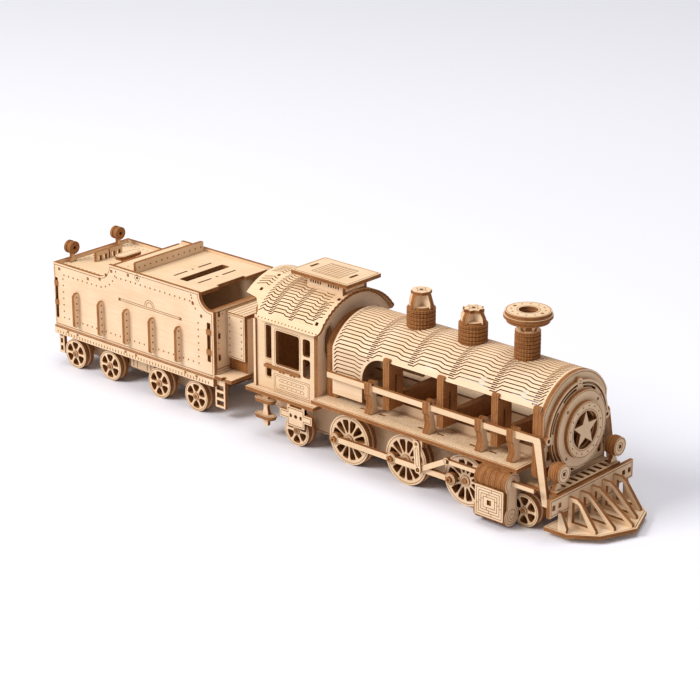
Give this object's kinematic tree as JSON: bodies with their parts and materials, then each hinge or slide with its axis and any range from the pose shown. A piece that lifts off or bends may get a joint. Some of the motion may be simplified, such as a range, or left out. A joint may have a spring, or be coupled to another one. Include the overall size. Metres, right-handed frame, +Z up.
{
  "type": "wooden 3d jigsaw steam locomotive with tender",
  "caption": "Laser-cut plywood puzzle model of a steam locomotive with a coupled tender, rolling wheels, side rods and valve links.",
  "frame": {"origin": "centre of the bounding box on the floor, under the wheels", "axes": "+X to the cowcatcher, the longest extent; +Y to the locomotive's left; +Z up"},
  "size_m": [0.37, 0.0748, 0.096],
  "materials": {
    "birch_plate": "sanded plywood face, matte",
    "birch_skin": "thin bent plywood face, matte",
    "burnt_stack": "laser-cut edges of stacked plywood, matte"
  },
  "bodies": {
    "locomotive": {"frame_left": "birch_plate", "frame_right": "birch_plate", "running_board": "birch_plate", "kick_strip_left": "birch_plate", "kick_strip_right": "birch_plate", "boiler_former_rear": "burnt_stack", "boiler_former_middle": "burnt_stack", "boiler_former_front": "burnt_stack", "boiler_shell": "birch_skin", "smokebox_front": "birch_plate", "smokebox_ring": "birch_plate", "smokebox_door": "birch_plate", "chimney_stack": "burnt_stack", "chimney_funnel": "birch_plate", "dome_front": "burnt_stack", "dome_rear": "burnt_stack", "handrail_left": "birch_plate", "handrail_right": "birch_plate", "pilot_deck": "birch_plate", "buffer_beam": "birch_plate", "cowcatcher": "birch_plate", "headlamp_left": "burnt_stack", "headlamp_right": "burnt_stack", "cylinder_left": "burnt_stack", "cylinder_right": "burnt_stack", "cab_floor": "birch_plate", "cab_side_left": "birch_plate", "cab_side_right": "birch_plate", "cab_front": "birch_plate", "cab_rear": "birch_plate", "cab_roof": "birch_skin", "roof_vent": "birch_plate", "cab_steps_left": "burnt_stack", "cab_steps_right": "burnt_stack"},
    "tender": {"tender_floor": "birch_plate", "tender_side_left": "birch_plate", "tender_side_right": "birch_plate", "tender_rear": "birch_plate", "tender_front": "birch_plate", "tender_rear_deck": "birch_plate", "tender_top_deck": "birch_plate", "tender_plank": "birch_plate", "tender_locker": "birch_plate", "tender_lamp_left": "burnt_stack", "tender_lamp_right": "burnt_stack"},
    "driver_axle_1": {"driver_wheelset_1": "birch_plate"},
    "driver_axle_2": {"driver_wheelset_2": "birch_plate"},
    "driver_axle_3": {"driver_wheelset_3": "birch_plate"},
    "trailing_axle": {"trailing_wheelset": "birch_plate"},
    "pilot_axle": {"pilot_wheelset": "birch_plate"},
    "tender_axle_1": {"tender_wheelset_1": "birch_plate"},
    "tender_axle_2": {"tender_wheelset_2": "birch_plate"},
    "tender_axle_3": {"tender_wheelset_3": "birch_plate"},
    "tender_axle_4": {"tender_wheelset_4": "birch_plate"},
    "side_rod_left": {"side_rod_left": "birch_plate"},
    "valve_rod_left": {"valve_rod_left": "birch_plate"},
    "valve_link_left": {"valve_link_left": "birch_plate"},
    "side_rod_right": {"side_rod_right": "birch_plate"},
    "valve_rod_right": {"valve_rod_right": "birch_plate"},
    "valve_link_right": {"valve_link_right": "birch_plate"}
  },
  "joints": [
    {"name": "driver_spin_1", "type": "hinge", "parent": "locomotive", "child": "driver_axle_1", "pos_m": [0.0295, 0, 0.0131], "axis": [0, 1, 0], "continuous": true},
    {"name": "driver_spin_2", "type": "hinge", "parent": "locomotive", "child": "driver_axle_2", "pos_m": [0.0665, 0, 0.0131], "axis": [0, 1, 0], "continuous": true},
    {"name": "driver_spin_3", "type": "hinge", "parent": "locomotive", "child": "driver_axle_3", "pos_m": [0.1036, 0, 0.0131], "axis": [0, 1, 0], "continuous": true},
    {"name": "trailing_spin", "type": "hinge", "parent": "locomotive", "child": "trailing_axle", "pos_m": [-0.006, 0, 0.0083], "axis": [0, 1, 0], "continuous": true},
    {"name": "pilot_spin", "type": "hinge", "parent": "locomotive", "child": "pilot_axle", "pos_m": [0.139, 0, 0.0083], "axis": [0, 1, 0], "continuous": true},
    {"name": "tender_spin_1", "type": "hinge", "parent": "tender", "child": "tender_axle_1", "pos_m": [-0.0771, 0, 0.0083], "axis": [0, 1, 0], "continuous": true},
    {"name": "tender_spin_2", "type": "hinge", "parent": "tender", "child": "tender_axle_2", "pos_m": [-0.1048, 0, 0.0083], "axis": [0, 1, 0], "continuous": true},
    {"name": "tender_spin_3", "type": "hinge", "parent": "tender", "child": "tender_axle_3", "pos_m": [-0.143, 0, 0.0083], "axis": [0, 1, 0], "continuous": true},
    {"name": "tender_spin_4", "type": "hinge", "parent": "tender", "child": "tender_axle_4", "pos_m": [-0.1707, 0, 0.0083], "axis": [0, 1, 0], "continuous": true},
    {"name": "side_rod_left_pin", "type": "hinge", "parent": "driver_axle_2", "child": "side_rod_left", "pos_m": [0.0601, 0.029, 0.0131], "axis": [0, 1, 0], "continuous": true},
    {"name": "valve_slide_left", "type": "slide", "parent": "locomotive", "child": "valve_rod_left", "axis": [1, 0, 0], "range_m": [-0.002, 0.002]},
    {"name": "valve_swing_left", "type": "hinge", "parent": "locomotive", "child": "valve_link_left", "pos_m": [0.078, 0.0319, 0.0266], "axis": [0, -1, 0], "range_deg": [-8.8, 8.8]},
    {"name": "side_rod_right_pin", "type": "hinge", "parent": "driver_axle_2", "child": "side_rod_right", "pos_m": [0.0601, -0.029, 0.0131], "axis": [0, 1, 0], "continuous": true},
    {"name": "valve_slide_right", "type": "slide", "parent": "locomotive", "child": "valve_rod_right", "axis": [1, 0, 0], "range_m": [-0.002, 0.002]},
    {"name": "valve_swing_right", "type": "hinge", "parent": "locomotive", "child": "valve_link_right", "pos_m": [0.078, -0.0319, 0.0266], "axis": [0, -1, 0], "range_deg": [-8.8, 8.8]},
    {"name": "tender_swing", "type": "hinge", "parent": "locomotive", "child": "tender", "pos_m": [-0.041, 0, 0.0195], "axis": [0, 0, 1], "range_deg": [-10, 10]}
  ],
  "couplings": [
    {"joint": "side_rod_left_pin", "follows": "driver_spin_2", "ratio": -1},
    {"joint": "valve_swing_left", "follows": "valve_slide_left", "rad_per_m": 75.472},
    {"joint": "side_rod_right_pin", "follows": "driver_spin_2", "ratio": -1},
    {"joint": "valve_swing_right", "follows": "valve_slide_right", "rad_per_m": 75.472},
    {"joint": "driver_spin_1", "follows": "driver_spin_2", "ratio": 1},
    {"joint": "driver_spin_3", "follows": "driver_spin_2", "ratio": 1}
  ]
}
